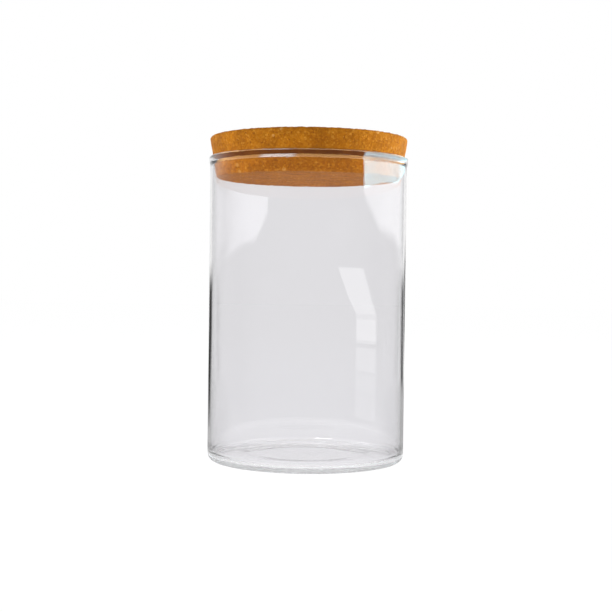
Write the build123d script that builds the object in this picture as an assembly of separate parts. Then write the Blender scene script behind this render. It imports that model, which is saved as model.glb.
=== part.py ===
from build123d import *
from math import cos, radians, tan
import os

# Straight-sided storage jar of clear blown glass, closed by a tapered stopper of agglomerated cork.
# Millimetres, +Z up. The origin is the middle of the ring that the jar stands on.

# Glass jar
jar_radius = 50.0  # outside of the straight wall
jar_height = 153.8  # from the foot to the top of the rim
wall = 1.5  # thickness of the straight wall
base_thickness = 2.2  # glass of the base, the same under the foot and under the push-up
heel_radius = 3.2  # outside bend from the wall to the foot
floor_bend_radius = 4.4  # inside bend from the wall to the floor

# Shallow push-up in the middle of the base, which the inside floor follows
push_up_height = 1.2
push_up_radius = 32.0  # raised disc in the middle
push_up_run = 4.0  # width of the slope round the disc

# Fire-polished rim: the glass has drawn up into a bead, a little thicker than the wall
bead_bulge = 0.6  # how far the bead stands out from the wall
bead_depth = 2.1  # straight side of the bead, below its round crown
crown_height = 0.5
neck_height = 1.5  # slope from the wall out to the bead
mouth_flare = 0.1  # how much further from the axis the mouth is than the bore

# Cork stopper
stopper_height = 20.8
stopper_stand = 10.1  # how much of the stopper stands above the rim
stopper_taper = 9.8  # degrees on each side
top_edge_break = 1.0  # sanded edge of the top face
bottom_edge_break = 0.7  # sanded edge of the end inside the jar
seat_clearance = 0.08  # from the cork to the rim, square to the cork

# The bead stands on the wall, and the stopper wedges in the mouth where the crown begins
bore_radius = jar_radius - wall
mouth_radius = bore_radius + mouth_flare
bead_outer_radius = jar_radius + bead_bulge
crown_foot_height = jar_height - crown_height
bead_foot_height = crown_foot_height - bead_depth
neck_foot_height = bead_foot_height - neck_height


def push_up_corners(level):
    """Foot of the slope and edge of the raised disc, on a face of the base at this level."""
    slope_foot = (push_up_radius + push_up_run, level)
    disc_edge = (push_up_radius, level + push_up_height)
    return slope_foot, disc_edge


def underside_and_heel():
    """From the axis, over the push-up and the flat foot, and round the heel to the outside wall."""
    slope_foot, disc_edge = push_up_corners(0)
    foot_edge = (jar_radius - heel_radius, 0)
    heel_end = (jar_radius, heel_radius)
    flats = Polyline((0, push_up_height), disc_edge, slope_foot, foot_edge)
    heel = TangentArc(foot_edge, heel_end, tangent=(1, 0))
    return [flats, heel]


def wall_and_rim():
    """Up the outside wall, out along the neck, and over the crown of the bead to the mouth."""
    neck_foot = (jar_radius, neck_foot_height)
    bead_foot = (bead_outer_radius, bead_foot_height)
    crown_outside = (bead_outer_radius, crown_foot_height)
    crown_top = ((mouth_radius + bead_outer_radius) / 2, jar_height)
    crown_inside = (mouth_radius, crown_foot_height)
    side = Polyline((jar_radius, heel_radius), neck_foot, bead_foot, crown_outside)
    crown = ThreePointArc(crown_outside, crown_top, crown_inside)
    return [side, crown]


def inside_wall_and_floor():
    """Down the flared mouth and the bore, round the bend, and over the floor to the axis."""
    slope_foot, disc_edge = push_up_corners(base_thickness)
    bend_start = (bore_radius, base_thickness + floor_bend_radius)
    bend_end = (bore_radius - floor_bend_radius, base_thickness)
    side = Polyline((mouth_radius, crown_foot_height), (bore_radius, neck_foot_height), bend_start)
    bend = TangentArc(bend_start, bend_end, tangent=(0, -1))
    flats = Polyline(bend_end, slope_foot, disc_edge, (0, base_thickness + push_up_height))
    return [side, bend, flats]


def make_glass_jar():
    """One wall of glass, turned about the axis."""
    middle = Line((0, base_thickness + push_up_height), (0, push_up_height))
    outline = Wire.combine([*underside_and_heel(), *wall_and_rim(), *inside_wall_and_floor(), middle])[0]
    return revolve(Plane.XZ * make_face(outline), Axis.Z)


def stopper_radius_at(height):
    """Radius of the tapered side, which lies its clearance off the rim all the way round."""
    slope = tan(radians(stopper_taper))
    radius_at_seat = mouth_radius - seat_clearance / cos(radians(stopper_taper))
    return radius_at_seat + (height - crown_foot_height) * slope


def make_cork_stopper():
    """A plain tapered plug: wedged in the rim, with its wide end standing out of the jar."""
    top = jar_height + stopper_stand
    bottom = top - stopper_height
    plug = Cone(stopper_radius_at(bottom), stopper_radius_at(top), stopper_height)
    plug = Pos(0, 0, (bottom + top) / 2) * plug
    plug = chamfer(plug.edges().group_by(Axis.Z)[-1], top_edge_break)
    return chamfer(plug.edges().group_by(Axis.Z)[0], bottom_edge_break)


pieces = {
    "glass_jar": make_glass_jar(),
    "cork_stopper": make_cork_stopper(),
}

os.makedirs("parts", exist_ok=True)
for name, solid in pieces.items():
    solid.label = name
    export_step(solid, f"parts/{name}.step")
    print(name, round(solid.volume), "mm3", solid.bounding_box().size)
print("gap from cork to glass", round(pieces["cork_stopper"].distance_to(pieces["glass_jar"]), 3))
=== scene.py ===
import math

import bmesh
import bpy
from mathutils import Matrix, Vector


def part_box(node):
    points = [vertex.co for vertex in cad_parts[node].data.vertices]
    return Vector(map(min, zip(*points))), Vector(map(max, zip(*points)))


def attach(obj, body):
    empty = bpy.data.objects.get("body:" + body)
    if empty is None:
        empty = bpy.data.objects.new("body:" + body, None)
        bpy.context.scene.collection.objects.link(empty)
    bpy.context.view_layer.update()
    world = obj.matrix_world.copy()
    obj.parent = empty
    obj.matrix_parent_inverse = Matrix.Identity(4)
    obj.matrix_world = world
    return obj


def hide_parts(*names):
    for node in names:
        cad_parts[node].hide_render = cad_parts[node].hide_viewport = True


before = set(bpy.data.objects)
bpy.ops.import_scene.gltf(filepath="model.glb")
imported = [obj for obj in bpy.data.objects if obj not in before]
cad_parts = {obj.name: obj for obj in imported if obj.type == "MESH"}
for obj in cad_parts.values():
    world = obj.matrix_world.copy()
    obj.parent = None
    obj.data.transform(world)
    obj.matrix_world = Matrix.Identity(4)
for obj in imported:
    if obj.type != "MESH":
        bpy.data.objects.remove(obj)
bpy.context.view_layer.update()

# metres and radians all through
mm = 0.001
degree = math.pi / 180
fullTurn = 2 * math.pi
slack = 0.1 * mm  # how far past a place a selection reaches


# small helpers for picking and editing

def deselectAll():
    bpy.ops.object.select_all(action="DESELECT")


def makeActive(piece):
    deselectAll()
    piece.select_set(True)
    bpy.context.view_layer.objects.active = piece


def startEdit(piece):
    makeActive(piece)
    bpy.ops.object.mode_set(mode="EDIT")


def endEdit():
    bpy.ops.object.mode_set(mode="OBJECT")


def applyPlace(piece):
    makeActive(piece)
    bpy.ops.object.transform_apply(location=True, rotation=True, scale=True)


def pickVerts(wanted):
    bpy.ops.mesh.select_mode(type="VERT")
    bpy.ops.mesh.select_all(action="DESELECT")
    data = bpy.context.object.data
    mesh = bmesh.from_edit_mesh(data)
    for vert in mesh.verts:
        vert.select = wanted(vert.co)
    mesh.select_flush(True)
    bmesh.update_edit_mesh(data)


def pickEdges(wanted):
    # by the place of an edge's middle
    bpy.ops.mesh.select_mode(type="EDGE")
    bpy.ops.mesh.select_all(action="DESELECT")
    data = bpy.context.object.data
    mesh = bmesh.from_edit_mesh(data)
    for edge in mesh.edges:
        edge.select = wanted((edge.verts[0].co + edge.verts[1].co) / 2)
    bmesh.update_edit_mesh(data)


def near(a, b, gap=0.02 * mm):
    return abs(a - b) < gap


def roundCorner(x, z, radius, segments):
    pickVerts(lambda c: near(c.x, x) and near(c.z, z))
    bpy.ops.mesh.bevel(offset_type="OFFSET", offset=radius, segments=segments, affect="VERTICES")


def applyModifier(piece, kind, **settings):
    makeActive(piece)
    modifier = piece.modifiers.new(kind.title(), kind)
    for name, value in settings.items():
        setattr(modifier, name, value)
    bpy.ops.object.modifier_apply(modifier=modifier.name)


def newMaterial(name):
    material = bpy.data.materials.new(name)
    material.use_nodes = True
    return material, material.node_tree.nodes, material.node_tree.links


def setMaterial(piece, material):
    piece.data.materials.clear()
    piece.data.materials.append(material)


# camera, at the photograph's angle

cameraPlace = {
    "photoWidth": 612,
    "focalPixels": 1190.0,
    "sensorWidth": 36.0,
    "x": -0.5 * mm,
    "distance": 608.7 * mm,
    "height": 91.1 * mm,
    "pitchDown": 1.17 * degree,
    "roll": 0.70 * degree,
}


def addCamera():
    p = cameraPlace
    data = bpy.data.cameras.new("photoCamera")
    data.sensor_width = p["sensorWidth"]
    data.lens = p["focalPixels"] / p["photoWidth"] * data.sensor_width
    camera = bpy.data.objects.new("photoCamera", data)
    bpy.context.scene.collection.objects.link(camera)
    aim = Matrix.Rotation(math.pi / 2 - p["pitchDown"], 4, "X") @ Matrix.Rotation(p["roll"], 4, "Z")
    camera.matrix_world = Matrix.Translation((p["x"], -p["distance"], p["height"])) @ aim
    bpy.context.scene.camera = camera


# glass jar: a flat section of the wall and base, spun about the axis

jar = {
    "radius": 50.0 * mm,
    "wall": 1.5 * mm,
    "base": 2.2 * mm,
    "heel": 4.0 * mm,
    "floorBend": 4.4 * mm,
    "bendSegments": 9,
    "pushUp": 0.8 * mm,
    "pushUpRadius": 27.0 * mm,
    "pushUpRun": 6.0 * mm,
    "pushUpBend": 2.8 * mm,
    "pushUpSegments": 6,
    "beadBulge": 0.6 * mm,
    "beadDepth": 2.1 * mm,
    "crown": 0.5 * mm,
    "neck": 1.5 * mm,
    "neckRounding": 0.7 * mm,
    "neckSegments": 5,
    "flare": 0.1 * mm,
    "fireRounding": 0.86 * mm,  # how round the flame left the corners of the bead
    "crownSegments": 10,
    "flatAngle": 0.5 * degree,  # points that bend the outline by less than this are left out
    "spinSteps": 256,
    "weldGap": 0.005 * mm,
    # short steps on the long straight runs: how far each run goes, and its cuts
    "wallRun": (20 * mm, 140 * mm),
    "wallCuts": 30,
    "discRun": 17 * mm,
    "discCuts": 9,
    "footRun": (35 * mm, 44 * mm),
    "footCuts": 5,
}


def makeJarSection():
    j = jar
    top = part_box("glass_jar")[1][2]
    radius, base = j["radius"], j["base"]
    bore = radius - j["wall"]
    bead = radius + j["beadBulge"]
    mouth = bore + j["flare"]
    slopeFoot = j["pushUpRadius"] + j["pushUpRun"]
    crownFoot = top - j["crown"]
    beadFoot = crownFoot - j["beadDepth"]
    neckFoot = beadFoot - j["neck"]

    # base strip from the axis to the outside, cut where its shape changes
    deselectAll()
    bpy.ops.mesh.primitive_plane_add(size=1, rotation=(math.pi / 2, 0, 0))
    piece = bpy.context.object
    piece.name = "glassJar"
    piece.scale = (radius, base, 1)
    piece.location = (radius / 2, 0, base / 2)
    applyPlace(piece)
    startEdit(piece)
    for cut in (j["pushUpRadius"], slopeFoot, bore):
        bpy.ops.mesh.select_all(action="SELECT")
        bpy.ops.mesh.bisect(plane_co=(cut, 0, 0), plane_no=(1, 0, 0))
    pickVerts(lambda c: c.x < j["pushUpRadius"] + slack)
    bpy.ops.transform.translate(value=(0, 0, j["pushUp"]))

    # wall drawn up from the base, then pushed out into the bead and opened at the mouth
    pickEdges(lambda c: near(c.z, base) and c.x > bore)
    level = base
    for nextLevel in (neckFoot, beadFoot, top):
        bpy.ops.mesh.extrude_region_move(TRANSFORM_OT_translate={"value": (0, 0, nextLevel - level)})
        level = nextLevel
    pickVerts(lambda c: near(c.x, radius) and c.z > beadFoot - slack)
    bpy.ops.transform.translate(value=(j["beadBulge"], 0, 0))
    pickVerts(lambda c: near(c.x, bore) and near(c.z, top))
    bpy.ops.transform.translate(value=(j["flare"], 0, 0))
    pickVerts(lambda c: near(c.x, bore) and near(c.z, beadFoot))
    bpy.ops.transform.translate(value=(j["flare"] * (beadFoot - neckFoot) / (top - neckFoot), 0, 0))

    # one outline without the cuts inside it, then its corners
    bpy.ops.mesh.select_all(action="SELECT")
    bpy.ops.mesh.dissolve_limited(angle_limit=j["flatAngle"])
    roundCorner(radius, 0, j["heel"], j["bendSegments"])
    roundCorner(bore, base, j["floorBend"], j["bendSegments"])
    for rise in (0, base):
        roundCorner(slopeFoot, rise, j["pushUpBend"], j["pushUpSegments"])
        roundCorner(j["pushUpRadius"], rise + j["pushUp"], j["pushUpBend"], j["pushUpSegments"])
    for x, z in ((radius, neckFoot), (bead, beadFoot)):
        roundCorner(x, z, j["neckRounding"], j["neckSegments"])
    for x in (bead, mouth):
        roundCorner(x, top, j["fireRounding"], j["crownSegments"])
    return piece


def makeJar():
    j = jar
    piece = makeJarSection()
    bpy.ops.mesh.select_all(action="SELECT")
    bpy.ops.mesh.delete(type="ONLY_FACE")
    pickEdges(lambda c: near(c.x, 0))
    bpy.ops.mesh.delete(type="EDGE")

    # short steps on the long straight runs keep the bends from pulling at their shading
    pickEdges(lambda c: j["wallRun"][0] < c.z < j["wallRun"][1])
    bpy.ops.mesh.subdivide(number_cuts=j["wallCuts"])
    pickEdges(lambda c: c.x < j["discRun"])
    bpy.ops.mesh.subdivide(number_cuts=j["discCuts"])
    pickEdges(lambda c: c.z < j["base"] + slack and j["footRun"][0] < c.x < j["footRun"][1])
    bpy.ops.mesh.subdivide(number_cuts=j["footCuts"])

    bpy.ops.mesh.select_all(action="SELECT")
    bpy.ops.mesh.spin(steps=j["spinSteps"], angle=fullTurn, center=(0, 0, 0), axis=(0, 0, 1))
    bpy.ops.mesh.select_all(action="SELECT")
    bpy.ops.mesh.remove_doubles(threshold=j["weldGap"])
    bpy.ops.mesh.normals_make_consistent(inside=False)
    endEdit()
    bpy.ops.object.shade_smooth()
    print("glass jar:", len(piece.data.polygons), "faces")
    return piece


# cork stopper: a tapered plug, then the small hollows that sanding leaves between the granules

stopper = {
    "taper": 9.8 * degree,
    "topBreak": 1.0 * mm,
    "topEdge": 1.5 * mm,
    "bottomEdge": 0.9 * mm,
    "edgeSegments": 6,
    "sides": 256,
    "voxel": 0.52 * mm,
    "granule": 1.15 * mm,
    "granuleRelief": 0.06 * mm,
    "hollow": 2.0 * mm,
    "hollowDepth": 0.16 * mm,
    "hollowContrast": 3.0,
    "hollowBrightness": 1.35,  # the higher, the more of the surface keeps its full height
}


def addRelief(piece, kind, size, depth, **settings):
    texture = bpy.data.textures.new("corkRelief", kind)
    texture.noise_scale = size
    for name, value in settings.items():
        setattr(texture, name, value)
    # with its middle at one, the texture only cuts in
    applyModifier(
        piece, "DISPLACE",
        texture=texture, texture_coords="LOCAL", strength=depth, mid_level=1.0,
    )


def makeStopper():
    s = stopper
    low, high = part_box("cork_stopper")
    height = high[2] - low[2]
    # the widest place is at the foot of the sanded top edge
    slope = math.tan(s["taper"])
    wide = high[0] + s["topBreak"] * slope
    narrow = wide - height * slope
    deselectAll()
    bpy.ops.mesh.primitive_cone_add(
        vertices=s["sides"], radius1=narrow, radius2=wide, depth=height,
        location=(0, 0, (low[2] + high[2]) / 2),
    )
    piece = bpy.context.object
    piece.name = "corkStopper"
    applyPlace(piece)
    startEdit(piece)
    for level, radius in ((low[2], s["bottomEdge"]), (high[2], s["topEdge"])):
        pickEdges(lambda c: near(c.z, level))
        bpy.ops.mesh.bevel(offset=radius, segments=s["edgeSegments"], affect="EDGES")
    endEdit()
    applyModifier(piece, "REMESH", mode="VOXEL", voxel_size=s["voxel"], use_smooth_shade=True)
    addRelief(piece, "VORONOI", s["granule"], s["granuleRelief"])
    addRelief(
        piece, "CLOUDS", s["hollow"], s["hollowDepth"],
        noise_depth=1, contrast=s["hollowContrast"], intensity=s["hollowBrightness"],
    )
    bpy.ops.object.shade_smooth()
    print("cork stopper:", len(piece.data.polygons), "faces")
    return piece


# helpers for material nodes

def addNode(nodes, kind, **settings):
    node = nodes.new("ShaderNode" + kind)
    for name, value in settings.items():
        setattr(node, name, value)
    return node


def objectPlace(nodes):
    return nodes.new("ShaderNodeTexCoord").outputs["Object"]


def splitPlace(nodes, links, place):
    split = nodes.new("ShaderNodeSeparateXYZ")
    links.new(place, split.inputs[0])
    return split.outputs


def addMath(nodes, links, operation, *values):
    node = addNode(nodes, "Math", operation=operation)
    for socket, value in zip(node.inputs, values):
        if isinstance(value, (int, float)):
            socket.default_value = value
        else:
            links.new(value, socket)
    return node.outputs[0]


def axisDistance(nodes, links, place):
    level = addNode(nodes, "VectorMath", operation="MULTIPLY")
    level.inputs[1].default_value = (1, 1, 0)
    links.new(place, level.inputs[0])
    away = addNode(nodes, "VectorMath", operation="LENGTH")
    links.new(level.outputs[0], away.inputs[0])
    return away.outputs["Value"]


def addMixRgb(nodes, links, blend, factor, first, second):
    # the mix node's colour sockets are the ones named A and B of colour kind
    node = addNode(nodes, "Mix", data_type="RGBA", blend_type=blend)
    colourIn = [socket for socket in node.inputs if socket.type == "RGBA"]
    colourOut = [socket for socket in node.outputs if socket.type == "RGBA"][0]
    for socket, value in ((node.inputs[0], factor), (colourIn[0], first), (colourIn[1], second)):
        if isinstance(value, (int, float, tuple)):
            socket.default_value = value
        else:
            links.new(value, socket)
    return colourOut


def addRamp(nodes, links, value, stops):
    node = nodes.new("ShaderNodeValToRGB")
    ramp = node.color_ramp
    while len(ramp.elements) < len(stops):
        ramp.elements.new(0.5)
    for element, (position, colour) in zip(ramp.elements, stops):
        element.position = position
        element.color = (*colour, 1)
    links.new(value, node.inputs[0])
    return node.outputs[0]


def addRange(nodes, links, value, start, end, least=0.0, most=1.0, kind="LINEAR"):
    node = addNode(nodes, "MapRange", interpolation_type=kind)
    ends = {"From Min": start, "From Max": end, "To Min": least, "To Max": most}
    for name, number in ends.items():
        node.inputs[name].default_value = number
    links.new(value, node.inputs["Value"])
    return node.outputs[0]


def addFade(nodes, links, value, start, end):
    # nought at start and one at end, in whichever order they come
    if start < end:
        return addRange(nodes, links, value, start, end, 0.0, 1.0, "SMOOTHSTEP")
    return addRange(nodes, links, value, end, start, 1.0, 0.0, "SMOOTHSTEP")


def addCells(nodes, links, vector, size, feature="F1"):
    node = addNode(nodes, "TexVoronoi", feature=feature)
    node.inputs["Scale"].default_value = 1 / size
    links.new(vector, node.inputs["Vector"])
    return node


def cellChance(nodes, links, cells, channel):
    # a random number that each cell has as its own
    pick = nodes.new("ShaderNodeSeparateColor")
    links.new(cells.outputs["Color"], pick.inputs[0])
    return pick.outputs[channel]


def addNoise(nodes, links, vector, size, detail=2.0):
    node = nodes.new("ShaderNodeTexNoise")
    node.inputs["Scale"].default_value = 1 / size
    node.inputs["Detail"].default_value = detail
    links.new(vector, node.inputs["Vector"])
    return node


def addBump(nodes, links, height, depth):
    bump = nodes.new("ShaderNodeBump")
    bump.inputs["Strength"].default_value = 1.0
    bump.inputs["Distance"].default_value = depth
    links.new(height, bump.inputs["Height"])
    links.new(bump.outputs[0], nodes["Principled BSDF"].inputs["Normal"])


def mixSurface(nodes, links, share, first, second, output):
    mix = nodes.new("ShaderNodeMixShader")
    for socket, source in zip(mix.inputs, (share, first, second)):
        links.new(source, socket)
    links.new(mix.outputs[0], output.inputs["Surface"])


# glass, clear with a slight grey

glassLook = {
    "tint": (0.915, 0.910, 0.924, 1),
    "ior": 1.47,
    "bounces": 2.5,  # light mirrored more often than this is caught in the glass
    "letOut": 0.22,
    "footHeights": (14 * mm, 9 * mm),
    "streakWidth": 7 * mm,
    "streakLength": 120 * mm,
    "streakDepth": 0.010 * mm,
    "wornHeel": 0.6,  # roughness round the foot, scuffed by use
    "wornHeights": (3.6 * mm, 2.6 * mm),
    "wornRadii": (45.5 * mm, 46.5 * mm),
}


def makeGlass():
    g = glassLook
    material, nodes, links = newMaterial("clearGlass")
    shader = nodes["Principled BSDF"]
    shader.inputs["Base Color"].default_value = g["tint"]
    shader.inputs["IOR"].default_value = g["ior"]
    shader.inputs["Transmission Weight"].default_value = 1.0
    place = objectPlace(nodes)
    height = splitPlace(nodes, links, place)["Z"]
    low = addFade(nodes, links, height, *g["wornHeights"])
    outer = addFade(nodes, links, axisDistance(nodes, links, place), *g["wornRadii"])
    worn = addMath(nodes, links, "MULTIPLY", low, outer)
    links.new(addMath(nodes, links, "MULTIPLY", worn, g["wornHeel"]), shader.inputs["Roughness"])

    # long faint streaks, as drawn tube has
    stretch = nodes.new("ShaderNodeMapping")
    across, along = 1 / g["streakWidth"], 1 / g["streakLength"]
    stretch.inputs["Scale"].default_value = (across, across, along)
    links.new(place, stretch.inputs["Vector"])
    streak = addNoise(nodes, links, stretch.outputs[0], 1.0, detail=1.0)
    addBump(nodes, links, streak.outputs[0], g["streakDepth"])

    # light caught in the thick foot is let out after a few bounces,
    # or it would be lost and the foot look black
    path = nodes.new("ShaderNodeLightPath")
    caught = addMath(nodes, links, "GREATER_THAN", path.outputs["Glossy Depth"], g["bounces"])
    foot = addFade(nodes, links, height, *g["footHeights"])
    caught = addMath(nodes, links, "MULTIPLY", caught, foot)
    kept = addMath(nodes, links, "MULTIPLY_ADD", caught, -g["letOut"], 1.0)
    links.new(kept, shader.inputs["Alpha"])
    return material


# cork, made of granules pressed together

corkLook = {
    "granule": 0.85 * mm,
    "fine": 0.40 * mm,
    "wander": 0.35 * mm,  # how far a granule's outline strays from a flat-sided cell
    "wanderShare": 0.8,  # size of that straying, in granules
    "seam": 0.08,
    "seamShade": 0.78,
    "tones": (
        (0.00, (0.254, 0.077, 0.001)),
        (0.25, (0.295, 0.094, 0.001)),
        (0.55, (0.318, 0.106, 0.002)),
        (0.85, (0.352, 0.123, 0.004)),
        (1.00, (0.408, 0.165, 0.014)),
    ),
    "fineTones": (
        (0.00, (0.83, 0.77, 0.68)),
        (0.50, (1.00, 1.00, 1.00)),
        (1.00, (1.11, 1.15, 1.30)),
    ),
    "fineShare": 0.55,
    "mottle": 9 * mm,
    "mottleTones": (
        (0.3, (0.80, 0.78, 0.72)),
        (0.7, (1.16, 1.18, 1.25)),
    ),
    "chip": 3.2 * mm,
    "chipChosen": 0.93,  # cells whose chance is above this hold a chip
    "chipReach": 0.30,
    "chipShare": 0.6,
    "chipColour": (0.52, 0.27, 0.07, 1),
    "speck": 0.8 * mm,
    "speckEdge": (0.66, 0.72),
    "speckColour": (0.15, 0.042, 0.003, 1),
    # heights of a painted shade ring, darker where the rim meets the cork
    "paintedShadeHeights": (149.6 * mm, 150.4 * mm, 153.4 * mm, 154.0 * mm),
    "paintedShadeColour": (0.40, 0.30, 0.12, 1),
    "paintedLightHeights": (150.0 * mm, 149.0 * mm),
    "paintedLightTone": (1.12, 1.04, 0.85, 1),  # painted light: the end in the jar is made brighter and warmer, to make up for the dimming and paling by the glass in front of it
    "bump": 0.12 * mm,
    "granuleRise": 0.3,
    "crumbRelief": 0.25,
    "speckPit": 0.5,
    "roughness": 0.67,  # of the smoothest granules
    "roughnessSpread": 0.15,  # how much rougher a granule may be
    "specular": 0.11,
    "sheen": 0.02,
    "sheenRoughness": 0.5,
    "sheenTint": (1.0, 0.95, 0.85, 1),
}


def makeCork():
    c = corkLook
    material, nodes, links = newMaterial("pressedCork")
    shader = nodes["Principled BSDF"]
    place = objectPlace(nodes)

    # places shifted a little at random, so that granules are not flat-sided
    wander = addNoise(nodes, links, place, c["granule"] * c["wanderShare"])
    centred = addNode(nodes, "VectorMath", operation="SUBTRACT")
    links.new(wander.outputs["Color"], centred.inputs[0])
    centred.inputs[1].default_value = (0.5, 0.5, 0.5)  # the middle of the noise
    shift = addNode(nodes, "VectorMath", operation="MULTIPLY_ADD")
    links.new(centred.outputs[0], shift.inputs[0])
    shift.inputs[1].default_value = (c["wander"],) * 3
    links.new(place, shift.inputs[2])
    shifted = shift.outputs[0]

    # each granule has its own tone, and finer crumbs lie among them
    granules = addCells(nodes, links, shifted, c["granule"])
    tone = addRamp(nodes, links, cellChance(nodes, links, granules, "Red"), c["tones"])
    crumbs = addCells(nodes, links, shifted, c["fine"])
    crumbTone = addRamp(nodes, links, cellChance(nodes, links, crumbs, "Green"), c["fineTones"])
    colour = addMixRgb(nodes, links, "MULTIPLY", c["fineShare"], tone, crumbTone)

    # broad lighter and darker clouds
    mottle = addNoise(nodes, links, place, c["mottle"], detail=3.0)
    cloud = addRamp(nodes, links, mottle.outputs[0], c["mottleTones"])
    colour = addMixRgb(nodes, links, "MULTIPLY", 1.0, colour, cloud)

    # pale chips here and there
    chips = addCells(nodes, links, shifted, c["chip"])
    chance = cellChance(nodes, links, chips, "Blue")
    chosen = addMath(nodes, links, "GREATER_THAN", chance, c["chipChosen"])
    inside = addMath(nodes, links, "LESS_THAN", chips.outputs["Distance"], c["chipReach"])
    chipMask = addMath(nodes, links, "MULTIPLY", chosen, inside)
    chipMask = addMath(nodes, links, "MULTIPLY", chipMask, c["chipShare"])
    colour = addMixRgb(nodes, links, "MIX", chipMask, colour, c["chipColour"])

    # dark seams between granules, and dark specks
    edges = addCells(nodes, links, shifted, c["granule"], "DISTANCE_TO_EDGE")
    seam = addRange(nodes, links, edges.outputs["Distance"], 0.0, c["seam"], c["seamShade"])
    colour = addMixRgb(nodes, links, "MULTIPLY", 1.0, colour, seam)
    specks = addNoise(nodes, links, place, c["speck"], detail=1.0)
    speckMask = addRange(nodes, links, specks.outputs[0], *c["speckEdge"])
    colour = addMixRgb(nodes, links, "MIX", speckMask, colour, c["speckColour"])

    # painted shade: a darker ring where the rim meets the cork, and a brighter end below it
    level = splitPlace(nodes, links, place)["Z"]
    start, full, easing, end = c["paintedShadeHeights"]
    below = addFade(nodes, links, level, start, full)
    above = addFade(nodes, links, level, end, easing)
    ring = addMath(nodes, links, "MULTIPLY", below, above)
    colour = addMixRgb(nodes, links, "MULTIPLY", ring, colour, c["paintedShadeColour"])
    # painted light: the end inside the jar is made brighter and warmer
    paintedLightInJar = addFade(nodes, links, level, *c["paintedLightHeights"])
    colour = addMixRgb(nodes, links, "MULTIPLY", paintedLightInJar, colour, c["paintedLightTone"])
    links.new(colour, shader.inputs["Base Color"])

    # relief: granules stand proud of their seams, specks are pits
    rise = addMath(nodes, links, "MINIMUM", edges.outputs["Distance"], c["granuleRise"])
    dip = addMath(nodes, links, "MULTIPLY", speckMask, c["speckPit"])
    height = addMath(nodes, links, "SUBTRACT", rise, dip)
    crumb = addMath(nodes, links, "MULTIPLY", crumbs.outputs["Distance"], -c["crumbRelief"])
    height = addMath(nodes, links, "ADD", height, crumb)
    addBump(nodes, links, height, c["bump"])

    spread = cellChance(nodes, links, granules, "Green")
    rough = addMath(nodes, links, "MULTIPLY_ADD", spread, c["roughnessSpread"], c["roughness"])
    links.new(rough, shader.inputs["Roughness"])
    shader.inputs["Specular IOR Level"].default_value = c["specular"]
    shader.inputs["Sheen Weight"].default_value = c["sheen"]
    shader.inputs["Sheen Roughness"].default_value = c["sheenRoughness"]
    shader.inputs["Sheen Tint"].default_value = c["sheenTint"]
    return material


# pale floor, white surroundings, and what the glass mirrors

studio = {
    "floorSize": 8.0,
    "floorGlow": 0.972,  # what the floor shows by itself, the rest is lamp light and keeps the shadow
    "floorColour": (0.04, 0.04, 0.04, 1),
    "tableColour": (0.9, 0.9, 0.88, 1),  # the floor as the lamps see it
    "floorBounce": 0.32,  # light that a wide white table throws up under the stopper
    "floorDrop": 0.05 * mm,  # keeps the floor and the cards off the face that the jar stands on
    "room": 0.80,
    "wallRadius": 1.8,
    "wallHeight": 4.0,
    "wallSides": 96,
    # brightness of the walls as the glass mirrors them, by share of a turn from the camera's side
    "horizon": (
        (0.00, 0.03),
        (0.29, 0.04),
        (0.35, 0.60),
        (0.42, 1.00),
        (0.57, 1.00),
        (0.61, 0.50),
        (0.65, 0.04),
        (1.00, 0.03),
    ),
    # the same for the table top and the foot of the walls, dark but for three strips behind the jar
    "tableBand": (
        (0.00, 0.10),
        (0.250, 0.10),
        (0.340, 0.60),
        (0.385, 0.60),
        (0.402, 0.10),
        (0.425, 0.10),
        (0.440, 0.95),
        (0.535, 0.95),
        (0.548, 0.10),
        (0.583, 0.10),
        (0.598, 0.55),
        (0.660, 0.55),
        (0.750, 0.10),
        (1.00, 0.10),
    ),
    "bandTop": (0.05, 0.14),
    # nearer the jar the table is paler at the back, and round its foot on all sides
    "nearBand": (
        (0.00, 0.06),
        (0.27, 0.06),
        (0.33, 0.50),
        (0.67, 0.55),
        (0.73, 0.06),
        (1.00, 0.06),
    ),
    "nearFade": (0.35, 0.60),
    "footGlow": 1.0,
    "footFade": (0.052, 0.075),
    "ceilingGlow": 2.2,
    "ceilingFade": (0.6, 1.6),  # heights over which the walls brighten to it
}

# which light meets a card, by how often it was mirrored and how often it went through a glass face
rays = {
    "mirrored": 0.5,  # more often than this, light has been mirrored
    "oneWall": 2.5,  # less often than this, it has met one wall of the jar at most
    "outside": 0.5,  # less often than this, it has stayed outside the glass
}


def seenRays(nodes, links):
    # camera, glossy and transmission rays show a surface rather than light it
    path = nodes.new("ShaderNodeLightPath")
    total = path.outputs["Is Camera Ray"]
    for name in ("Is Glossy Ray", "Is Transmission Ray"):
        total = addMath(nodes, links, "MAXIMUM", total, path.outputs[name])
    return total


def addGlowingMatt(nodes, links, colour, strength):
    matt = nodes.new("ShaderNodeBsdfDiffuse")
    matt.inputs["Color"].default_value = colour
    glow = nodes.new("ShaderNodeEmission")
    glow.inputs["Strength"].default_value = strength
    both = nodes.new("ShaderNodeAddShader")
    links.new(matt.outputs[0], both.inputs[0])
    links.new(glow.outputs[0], both.inputs[1])
    return both.outputs[0]


def addFloor():
    s = studio
    deselectAll()
    bpy.ops.mesh.primitive_plane_add(size=s["floorSize"], location=(0, 0, -s["floorDrop"]))
    floor = bpy.context.object
    floor.name = "paleFloor"
    material, nodes, links = newMaterial("paleFloor")
    nodes.remove(nodes["Principled BSDF"])
    lighting = addGlowingMatt(nodes, links, s["tableColour"], s["floorBounce"])
    shown = addGlowingMatt(nodes, links, s["floorColour"], s["floorGlow"])
    mixSurface(nodes, links, seenRays(nodes, links), lighting, shown, nodes["Material Output"])
    setMaterial(floor, material)


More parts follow.
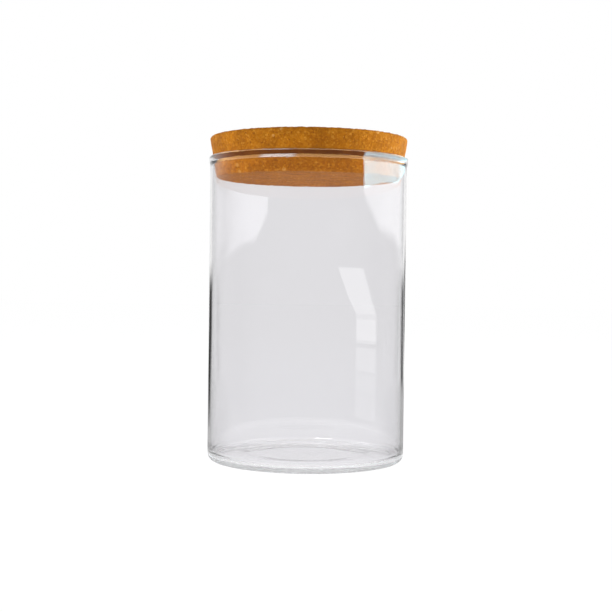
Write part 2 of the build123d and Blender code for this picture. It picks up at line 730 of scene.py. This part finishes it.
def addWorld():
    world = bpy.data.worlds.new("studio")
    bpy.context.scene.world = world
    world.use_nodes = True
    nodes, links = world.node_tree.nodes, world.node_tree.links
    nodes.clear()
    room = nodes.new("ShaderNodeBackground")
    room.inputs["Strength"].default_value = studio["room"]
    white = nodes.new("ShaderNodeBackground")
    white.inputs["Color"].default_value = (1, 1, 1, 1)
    output = nodes.new("ShaderNodeOutputWorld")
    mixSurface(nodes, links, seenRays(nodes, links), room.outputs[0], white.outputs[0], output)


def mirroredOnly(nodes, links, side=None):
    # one for light that has been mirrored on its way, so what is seen straight through stays white
    path = nodes.new("ShaderNodeLightPath")
    mirrored = addMath(nodes, links, "GREATER_THAN", path.outputs["Glossy Depth"], rays["mirrored"])
    if side:
        # the near or the far wall of the jar as the mirror
        compare = "LESS_THAN" if side == "near" else "GREATER_THAN"
        walls = addMath(nodes, links, compare, path.outputs["Transmission Depth"], rays["oneWall"])
        mirrored = addMath(nodes, links, "MULTIPLY", mirrored, walls)
    return mirrored


def throughEdge(nodes, links):
    # one for light that has been through one wall of the jar at most, as at its edges,
    # and nought for light that came right through the jar
    path = nodes.new("ShaderNodeLightPath")
    return addMath(nodes, links, "LESS_THAN", path.outputs["Transmission Depth"], rays["oneWall"])


def finishCard(card, strength, cover, colour=(1, 1, 1)):
    # glowing where cover is one and clear where it is nought
    nodes, links = card.active_material.node_tree.nodes, card.active_material.node_tree.links
    nodes.remove(nodes["Principled BSDF"])
    emit = nodes.new("ShaderNodeEmission")
    emit.inputs["Color"].default_value = (*colour, 1)
    if isinstance(strength, (int, float)):
        emit.inputs["Strength"].default_value = strength
    else:
        links.new(strength, emit.inputs["Strength"])
    clear = nodes.new("ShaderNodeBsdfTransparent")
    mixSurface(nodes, links, cover, clear.outputs[0], emit.outputs[0], nodes["Material Output"])
    card.visible_camera = False
    card.visible_diffuse = False
    card.visible_shadow = False


def addCard(name, corners, strength, soft, mirrored=True, side=None, colour=(1, 1, 1)):
    deselectAll()
    bpy.ops.mesh.primitive_plane_add(size=1)
    card = bpy.context.object
    card.name = name
    for index, corner in zip((0, 1, 3, 2), corners):
        card.data.vertices[index].co = corner
    material, nodes, links = newMaterial(name)
    setMaterial(card, material)
    across = splitPlace(nodes, links, nodes.new("ShaderNodeTexCoord").outputs["UV"])
    cover = mirroredOnly(nodes, links, side) if mirrored else throughEdge(nodes, links)
    for share, edge in zip((across["X"], across["Y"]), soft):
        toEdge = addMath(nodes, links, "MINIMUM", share, addMath(nodes, links, "SUBTRACT", 1.0, share))
        fade = addFade(nodes, links, toEdge, 0.0, edge)
        cover = addMath(nodes, links, "MULTIPLY", cover, fade)
    if isinstance(strength, tuple):
        first, last = strength
        strength = addMath(nodes, links, "MULTIPLY_ADD", across["X"], last - first, first)
    finishCard(card, strength, cover, colour)


def glowAround(nodes, links, stops):
    # brightness by direction round the axis, as a share of a turn from the camera's side
    turn = nodes.new("ShaderNodeMapping")
    turn.inputs["Rotation"].default_value = (0, 0, -math.pi / 2)
    around = addNode(nodes, "TexGradient", gradient_type="RADIAL")
    links.new(objectPlace(nodes), turn.inputs["Vector"])
    links.new(turn.outputs[0], around.inputs["Vector"])
    top = max(level for share, level in stops)
    greys = [(share, (level / top,) * 3) for share, level in stops]
    ramp = addRamp(nodes, links, around.outputs["Fac"], greys)
    return addMath(nodes, links, "MULTIPLY", ramp, top)


def addRoomWalls():
    s = studio
    deselectAll()
    bpy.ops.mesh.primitive_cylinder_add(
        vertices=s["wallSides"], radius=s["wallRadius"], depth=s["wallHeight"],
    )
    walls = bpy.context.object
    walls.name = "roomWalls"
    material, nodes, links = newMaterial("roomWalls")
    setMaterial(walls, material)
    around = glowAround(nodes, links, s["horizon"])
    foot = glowAround(nodes, links, s["tableBand"])
    height = splitPlace(nodes, links, objectPlace(nodes))["Z"]
    lift = addFade(nodes, links, height, *s["bandTop"])
    upper = addMath(nodes, links, "MAXIMUM", foot, addMath(nodes, links, "MULTIPLY", lift, around))
    lift = addFade(nodes, links, height, *s["ceilingFade"])
    high = addMath(nodes, links, "MULTIPLY", lift, s["ceilingGlow"])
    finishCard(walls, addMath(nodes, links, "MAXIMUM", upper, high), mirroredOnly(nodes, links))


def addLevelCard(name, size, height):
    deselectAll()
    bpy.ops.mesh.primitive_plane_add(size=size, location=(0, 0, height))
    card = bpy.context.object
    card.name = name
    material, nodes, links = newMaterial(name)
    setMaterial(card, material)
    return card, nodes, links, axisDistance(nodes, links, objectPlace(nodes))


def addTable():
    # table top as the glass mirrors it
    s = studio
    card, nodes, links, away = addLevelCard("tableTop", s["floorSize"], -s["floorDrop"] / 2)
    glow = glowAround(nodes, links, s["tableBand"])
    closeBy = glowAround(nodes, links, s["nearBand"])
    for closer, fade in ((closeBy, s["nearFade"]), (s["footGlow"], s["footFade"])):
        far = addFade(nodes, links, away, *fade)
        kept = addMath(nodes, links, "MULTIPLY", glow, far)
        rest = addMath(nodes, links, "SUBTRACT", 1.0, far)
        added = addMath(nodes, links, "MULTIPLY", rest, closer)
        glow = addMath(nodes, links, "ADD", kept, added)
    finishCard(card, glow, mirroredOnly(nodes, links))


def addPaintedRimGlow(look):
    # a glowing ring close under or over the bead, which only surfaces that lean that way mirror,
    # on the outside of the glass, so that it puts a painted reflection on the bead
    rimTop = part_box("glass_jar")[1][2]
    size = 4 * look["far"][0]  # twice as wide as the ring
    card, nodes, links, away = addLevelCard("paintedRimGlow", size, rimTop - look["drop"])
    path = nodes.new("ShaderNodeLightPath")
    cover = addMath(nodes, links, "LESS_THAN", path.outputs["Transmission Depth"], rays["outside"])
    seenFrom = nodes.new("ShaderNodeNewGeometry").outputs["Backfacing"]
    if look["drop"] > 0:
        seenFrom = addMath(nodes, links, "SUBTRACT", 1.0, seenFrom)
    inside = addFade(nodes, links, away, *look["near"])
    outside = addFade(nodes, links, away, *look["far"])
    around = glowAround(nodes, links, look["stops"])
    for part in (mirroredOnly(nodes, links), seenFrom, inside, outside, around):
        cover = addMath(nodes, links, "MULTIPLY", cover, part)
    finishCard(card, look["glow"], cover, look["colour"])


def sideCard(name, x, along, feet, top, strength, soft, side=None, colour=(1, 1, 1)):
    # along and feet in millimetres
    front, back = along[0] * mm, along[1] * mm
    corners = ((x, front, feet[0] * mm), (x, back, feet[1] * mm), (x, back, top), (x, front, top))
    addCard(name, corners, strength, soft, side=side, colour=colour)


# a light panel at the right of the jar, and a dimmer one behind it that reaches further down
panel = {
    "x": 166 * mm,
    "step": 1 * mm,  # from one layer of panels to the next
    "top": 280 * mm,
    # each strip: where it starts and ends, its feet and its glow there
    "bright": (
        ((-101, 64), (147.2, 151.5), (9.6, 2.9)),
        ((64, 230), (151.5, 174), (2.9, 2.0)),
    ),
    "colour": (0.54, 0.93, 1.07),
    "brightSoft": (0.01, 0.01),
    "low": (
        ((-101, -32), (139, 117.5), (2.0, 2.0)),
        ((-32, 30), (117.5, 114.5), (2.0, 1.8)),
        ((30, 178), (114.5, 100), (1.8, 0.4)),
    ),
    "lowSoft": (0.005, 0.06),
    "farShare": 1.5,  # how much brighter the far wall mirrors it
    "farSoft": (0.005, 0.04),
}

window = {
    "x": 150 * mm,
    "step": 1 * mm,  # from the panes to the haze behind them
    "along": (-122, -39),
    # each pane: its foot, its top and its glow
    "panes": ((56.5, 70, 1.75), (38.5, 53, 1.0), (25.5, 37, 0.7), (10, 24.5, 0.6)),
    "haze": ((54.5, 73, 1.1), (10, 54.5, 0.5)),  # what shows faintly through the bars between the panes
    "soft": (0.06, 0.06),
    "head": ((-122, 71.5), (-39, 71.5), (-92, 100), (-245, 102)),  # corners, along and up
    "headGlow": 1.75,
    "headSoft": (0.05, 0.05),
}

# these draw the dark edges of the glass
darkCards = {
    "Right": {
        "across": (80 * mm, 106 * mm),
        "y": 150 * mm,
        "up": (34 * mm, 126 * mm),
        "glow": 0.0,
        "soft": (0.12, 0.35),
    },
    "Left": {
        "across": (-118 * mm, -80 * mm),
        "y": 120 * mm,
        "up": (-10 * mm, 98 * mm),
        "glow": 0.04,
        "soft": (0.2, 0.3),
    },
}

highSoftbox = {
    "corners": (
        (-0.90, -1.05, 0.85),
        (-0.30, -1.35, 0.85),
        (-0.25, -1.10, 1.40),
        (-0.80, -0.85, 1.40),
    ),
    "glow": 14.0,
    "soft": (0.1, 0.1),
}

# glowing rings that put painted reflections under the rim bead: a cork-coloured line in place of the
# lit cork nearly all round, and a painted glint in place of a lamp at one place
paintedCorkGlow = {
    "drop": 4.35 * mm,
    "near": (50.1 * mm, 50.4 * mm),
    "far": (55 * mm, 54 * mm),
    "glow": 9.0,
    "colour": (1.0, 0.60, 0.24),
    "stops": (
        (0.00, 0.9),
        (0.10, 0.9),
        (0.13, 0.55),
        (0.22, 0.40),
        (0.26, 0.0),
        (0.80, 0.0),
        (0.84, 0.75),
        (1.00, 0.9),
    ),
}
paintedLampGlint = {
    "drop": 4.2 * mm,
    "near": (50.1 * mm, 50.4 * mm),
    "far": (55 * mm, 54 * mm),
    "glow": 14.0,
    "colour": (1.0, 1.0, 1.0),
    "stops": (
        (0.00, 0.0),
        (0.918, 0.0),
        (0.926, 1.0),
        (0.972, 1.0),
        (0.982, 0.0),
        (1.00, 0.0),
    ),
}
# and painted reflections of both on its crown
crownPaintedCorkGlow = {
    **paintedCorkGlow,
    "drop": -3.0 * mm,
    "near": (51 * mm, 52 * mm),
    "far": (57 * mm, 55 * mm),
    "glow": 11.0,
    "colour": (1.0, 0.66, 0.30),
}
crownPaintedLampGlint = {
    **paintedLampGlint,
    "drop": -2.7 * mm,
    "near": (51 * mm, 52 * mm),
    "far": (57 * mm, 55 * mm),
    "glow": 9.0,
}


def addPanels():
    p = panel
    for along, feet, glow in p["bright"]:
        x = p["x"] - p["step"]
        sideCard("brightPanel", x, along, feet, p["top"], glow, p["brightSoft"], "near", p["colour"])
    for along, feet, glow in p["low"]:
        sideCard("lowPanel", p["x"], along, feet, p["top"], glow, p["lowSoft"])
        x = p["x"] - 2 * p["step"]
        farGlow = tuple(end * p["farShare"] for end in glow)
        sideCard("farPanel", x, along, feet, p["top"], farGlow, p["farSoft"], "far")


def addWindow():
    w = window
    layers = (
        ("windowPane", w["x"], w["panes"]),
        ("windowHaze", w["x"] + w["step"], w["haze"]),
    )
    for name, x, rows in layers:
        for foot, top, glow in rows:
            sideCard(name, x, w["along"], (foot, foot), top * mm, glow, w["soft"], "near")
    corners = [(w["x"], y * mm, z * mm) for y, z in w["head"]]
    addCard("windowHead", corners, w["headGlow"], w["headSoft"], side="near")


def addDarkCards():
    for side, dark in darkCards.items():
        left, right = dark["across"]
        foot, top = dark["up"]
        y = dark["y"]
        corners = ((left, y, foot), (right, y, foot), (right, y, top), (left, y, top))
        addCard("darkCard" + side, corners, dark["glow"], dark["soft"], mirrored=False)


def addMirroredThings():
    addPanels()
    addWindow()
    addDarkCards()
    addCard("highSoftbox", highSoftbox["corners"], highSoftbox["glow"], highSoftbox["soft"])
    addTable()
    for look in (paintedCorkGlow, paintedLampGlint, crownPaintedCorkGlow, crownPaintedLampGlint):
        addPaintedRimGlow(look)


lamps = {
    "right": {"place": (1.0, 0.15, 0.32), "size": 0.5, "power": 16.5, "colour": (0.95, 1.03, 1.30)},
    "left": {"place": (-1.0, 0.05, 0.30), "size": 0.55, "power": 8.6, "colour": (0.95, 1.03, 1.25)},
    "front": {"place": (-0.35, -1.1, 0.34), "size": 0.7, "power": 2.4, "colour": (1.0, 1.0, 0.95)},
}
lampTarget = (0, 0, 0.12)  # about three quarters of the way up the jar


def addLamps():
    for name, lamp in lamps.items():
        data = bpy.data.lights.new(name + "Lamp", "AREA")
        data.shape = "SQUARE"
        data.size = lamp["size"]
        data.energy = lamp["power"]
        data.color = lamp["colour"]
        thing = bpy.data.objects.new(name + "Lamp", data)
        bpy.context.scene.collection.objects.link(thing)
        place = Vector(lamp["place"])
        aim = Vector(lampTarget) - place
        thing.location = place
        thing.rotation_euler = aim.to_track_quat("-Z", "Y").to_euler()
        thing.visible_camera = False
        thing.visible_glossy = False
        thing.visible_transmission = False


addCamera()
glassJar = makeJar()
corkStopper = makeStopper()
setMaterial(glassJar, makeGlass())
glassJar.visible_shadow = False  # clear glass lets the lamps through to the cork
glassJar.visible_diffuse = False
setMaterial(corkStopper, makeCork())
print("materials: clear glass and pressed cork")
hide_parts("glass_jar")
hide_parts("cork_stopper")
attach(glassJar, "jar")
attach(corkStopper, "stopper")
addFloor()
addWorld()
addRoomWalls()
addMirroredThings()
addLamps()
bpy.context.scene.view_settings.view_transform = "Standard"
print("studio: floor, walls, cards and", len(lamps), "lamps")
